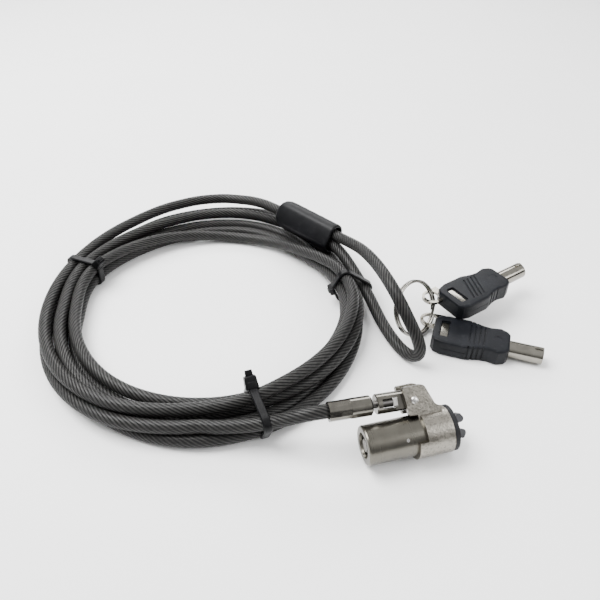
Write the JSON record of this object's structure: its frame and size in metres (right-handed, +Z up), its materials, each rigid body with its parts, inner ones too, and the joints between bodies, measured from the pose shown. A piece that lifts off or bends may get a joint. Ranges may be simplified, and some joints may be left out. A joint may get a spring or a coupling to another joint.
{
  "type": "laptop cable lock",
  "caption": "Laptop cable lock: tubular key cylinder with spreading jaws on a swivelling coated steel cable, coiled and tied, with a sleeved loop and two keys on a split ring.",
  "frame": {"origin": "centre of the lock's nose face, where it meets the laptop", "axes": "+X out of the nose along the barrel axis, +Z up from the table, +Y to the side that the ears lean towards"},
  "size_m": [0.2119, 0.179, 0.0319],
  "materials": {
    "cast_zinc": "rough cast, nickel plated",
    "satin_nickel": "satin turned nickel plate",
    "bright_nickel": "smooth nickel plate",
    "steel": "plain steel",
    "brass": "machined",
    "plug_metal": "machined nickel plate",
    "jaw_steel": "dull hardened steel",
    "dark_steel": "dark steel",
    "rubber": "matt",
    "coated_rope": "steel rope under a smoky clear vinyl coat",
    "sleeve_plastic": "smooth moulded",
    "tie_nylon": "moulded nylon",
    "ring_steel": "bright spring steel",
    "key_nickel": "nickel plate",
    "key_plastic": "moulded, fine texture"
  },
  "bodies": {
    "cable": {"ferrule": "bright_nickel", "swivel_stud": "dark_steel", "cable_lead": "coated_rope", "cable_coil": "coated_rope", "cable_tail": "coated_rope", "cable_loop": "coated_rope", "loop_crimp": "steel", "loop_sleeve": "sleeve_plastic", "tie_front": "tie_nylon", "tie_front_head": "tie_nylon", "tie_left": "tie_nylon", "tie_left_head": "tie_nylon", "tie_right": "tie_nylon", "tie_right_head": "tie_nylon"},
    "yoke": {"swivel_yoke": "bright_nickel"},
    "lock_head": {"housing": "cast_zinc", "barrel": "satin_nickel", "barrel_pin": "steel", "stator": "brass", "stator_pin": "steel", "pin_springs": "steel", "jaw_pin": "steel", "nose_washer": "rubber", "pivot_rivet": "steel"},
    "plug": {"spindle": "plug_metal", "retaining_clip": "steel", "drive_cam": "brass"},
    "key_pins": {"key_pins": "brass"},
    "driver_pins": {"driver_pins": "brass"},
    "jaw_upper": {"jaw_upper": "jaw_steel"},
    "jaw_lower": {"jaw_lower": "jaw_steel"},
    "key_ring": {"key_ring": "ring_steel"},
    "key_1": {"key_1_blade": "key_nickel", "key_1_head": "key_plastic"},
    "key_2": {"key_2_blade": "key_nickel", "key_2_head": "key_plastic"}
  },
  "joints": [
    {"name": "yoke_swivel", "type": "hinge", "parent": "cable", "child": "yoke", "pos_m": [-0.0125, 0.00847, 0.00878], "axis": [0.9991, -0.0291, -0.0301], "continuous": true},
    {"name": "head_pivot", "type": "hinge", "parent": "yoke", "child": "lock_head", "pos_m": [-0.0125, 0.00847, 0.00878], "axis": [0, -0.7193, 0.6947], "range_deg": [0, 100]},
    {"name": "plug_turn", "type": "hinge", "parent": "lock_head", "child": "plug", "pos_m": [-0.02, 0, 0], "axis": [1, 0, 0], "range_deg": [0, 90]},
    {"name": "key_pin_travel", "type": "slide", "parent": "plug", "child": "key_pins", "axis": [-1, 0, 0], "range_m": [0, 0.001]},
    {"name": "driver_pin_travel", "type": "slide", "parent": "lock_head", "child": "driver_pins", "axis": [-1, 0, 0], "range_m": [0, 0.001]},
    {"name": "jaw_upper_turn", "type": "hinge", "parent": "lock_head", "child": "jaw_upper", "pos_m": [-0.0037, 0, 0], "axis": [0, 0.7193, -0.6947], "range_deg": [0, 8.5]},
    {"name": "jaw_lower_turn", "type": "hinge", "parent": "lock_head", "child": "jaw_lower", "pos_m": [-0.0037, 0, 0], "axis": [0, -0.7193, 0.6947], "range_deg": [0, 8.5]},
    {"name": "ring_pull_off", "type": "slide", "parent": "cable", "child": "key_ring", "axis": [1, 0, 0], "range_m": [0, 0.06]},
    {"name": "key_1_swing", "type": "hinge", "parent": "key_ring", "child": "key_1", "pos_m": [0.0208, 0.063, 0.0034], "axis": [0, 0, 1], "range_deg": [0, 25]},
    {"name": "key_2_swing", "type": "hinge", "parent": "key_ring", "child": "key_2", "pos_m": [0.0189, 0.0574, -0.00435], "axis": [0, 0, 1], "range_deg": [-20, 0]}
  ],
  "couplings": [
    {"joint": "jaw_upper_turn", "follows": "plug_turn", "ratio": 0.094444},
    {"joint": "jaw_lower_turn", "follows": "plug_turn", "ratio": 0.094444},
    {"joint": "driver_pin_travel", "follows": "key_pin_travel", "ratio": 1}
  ]
}
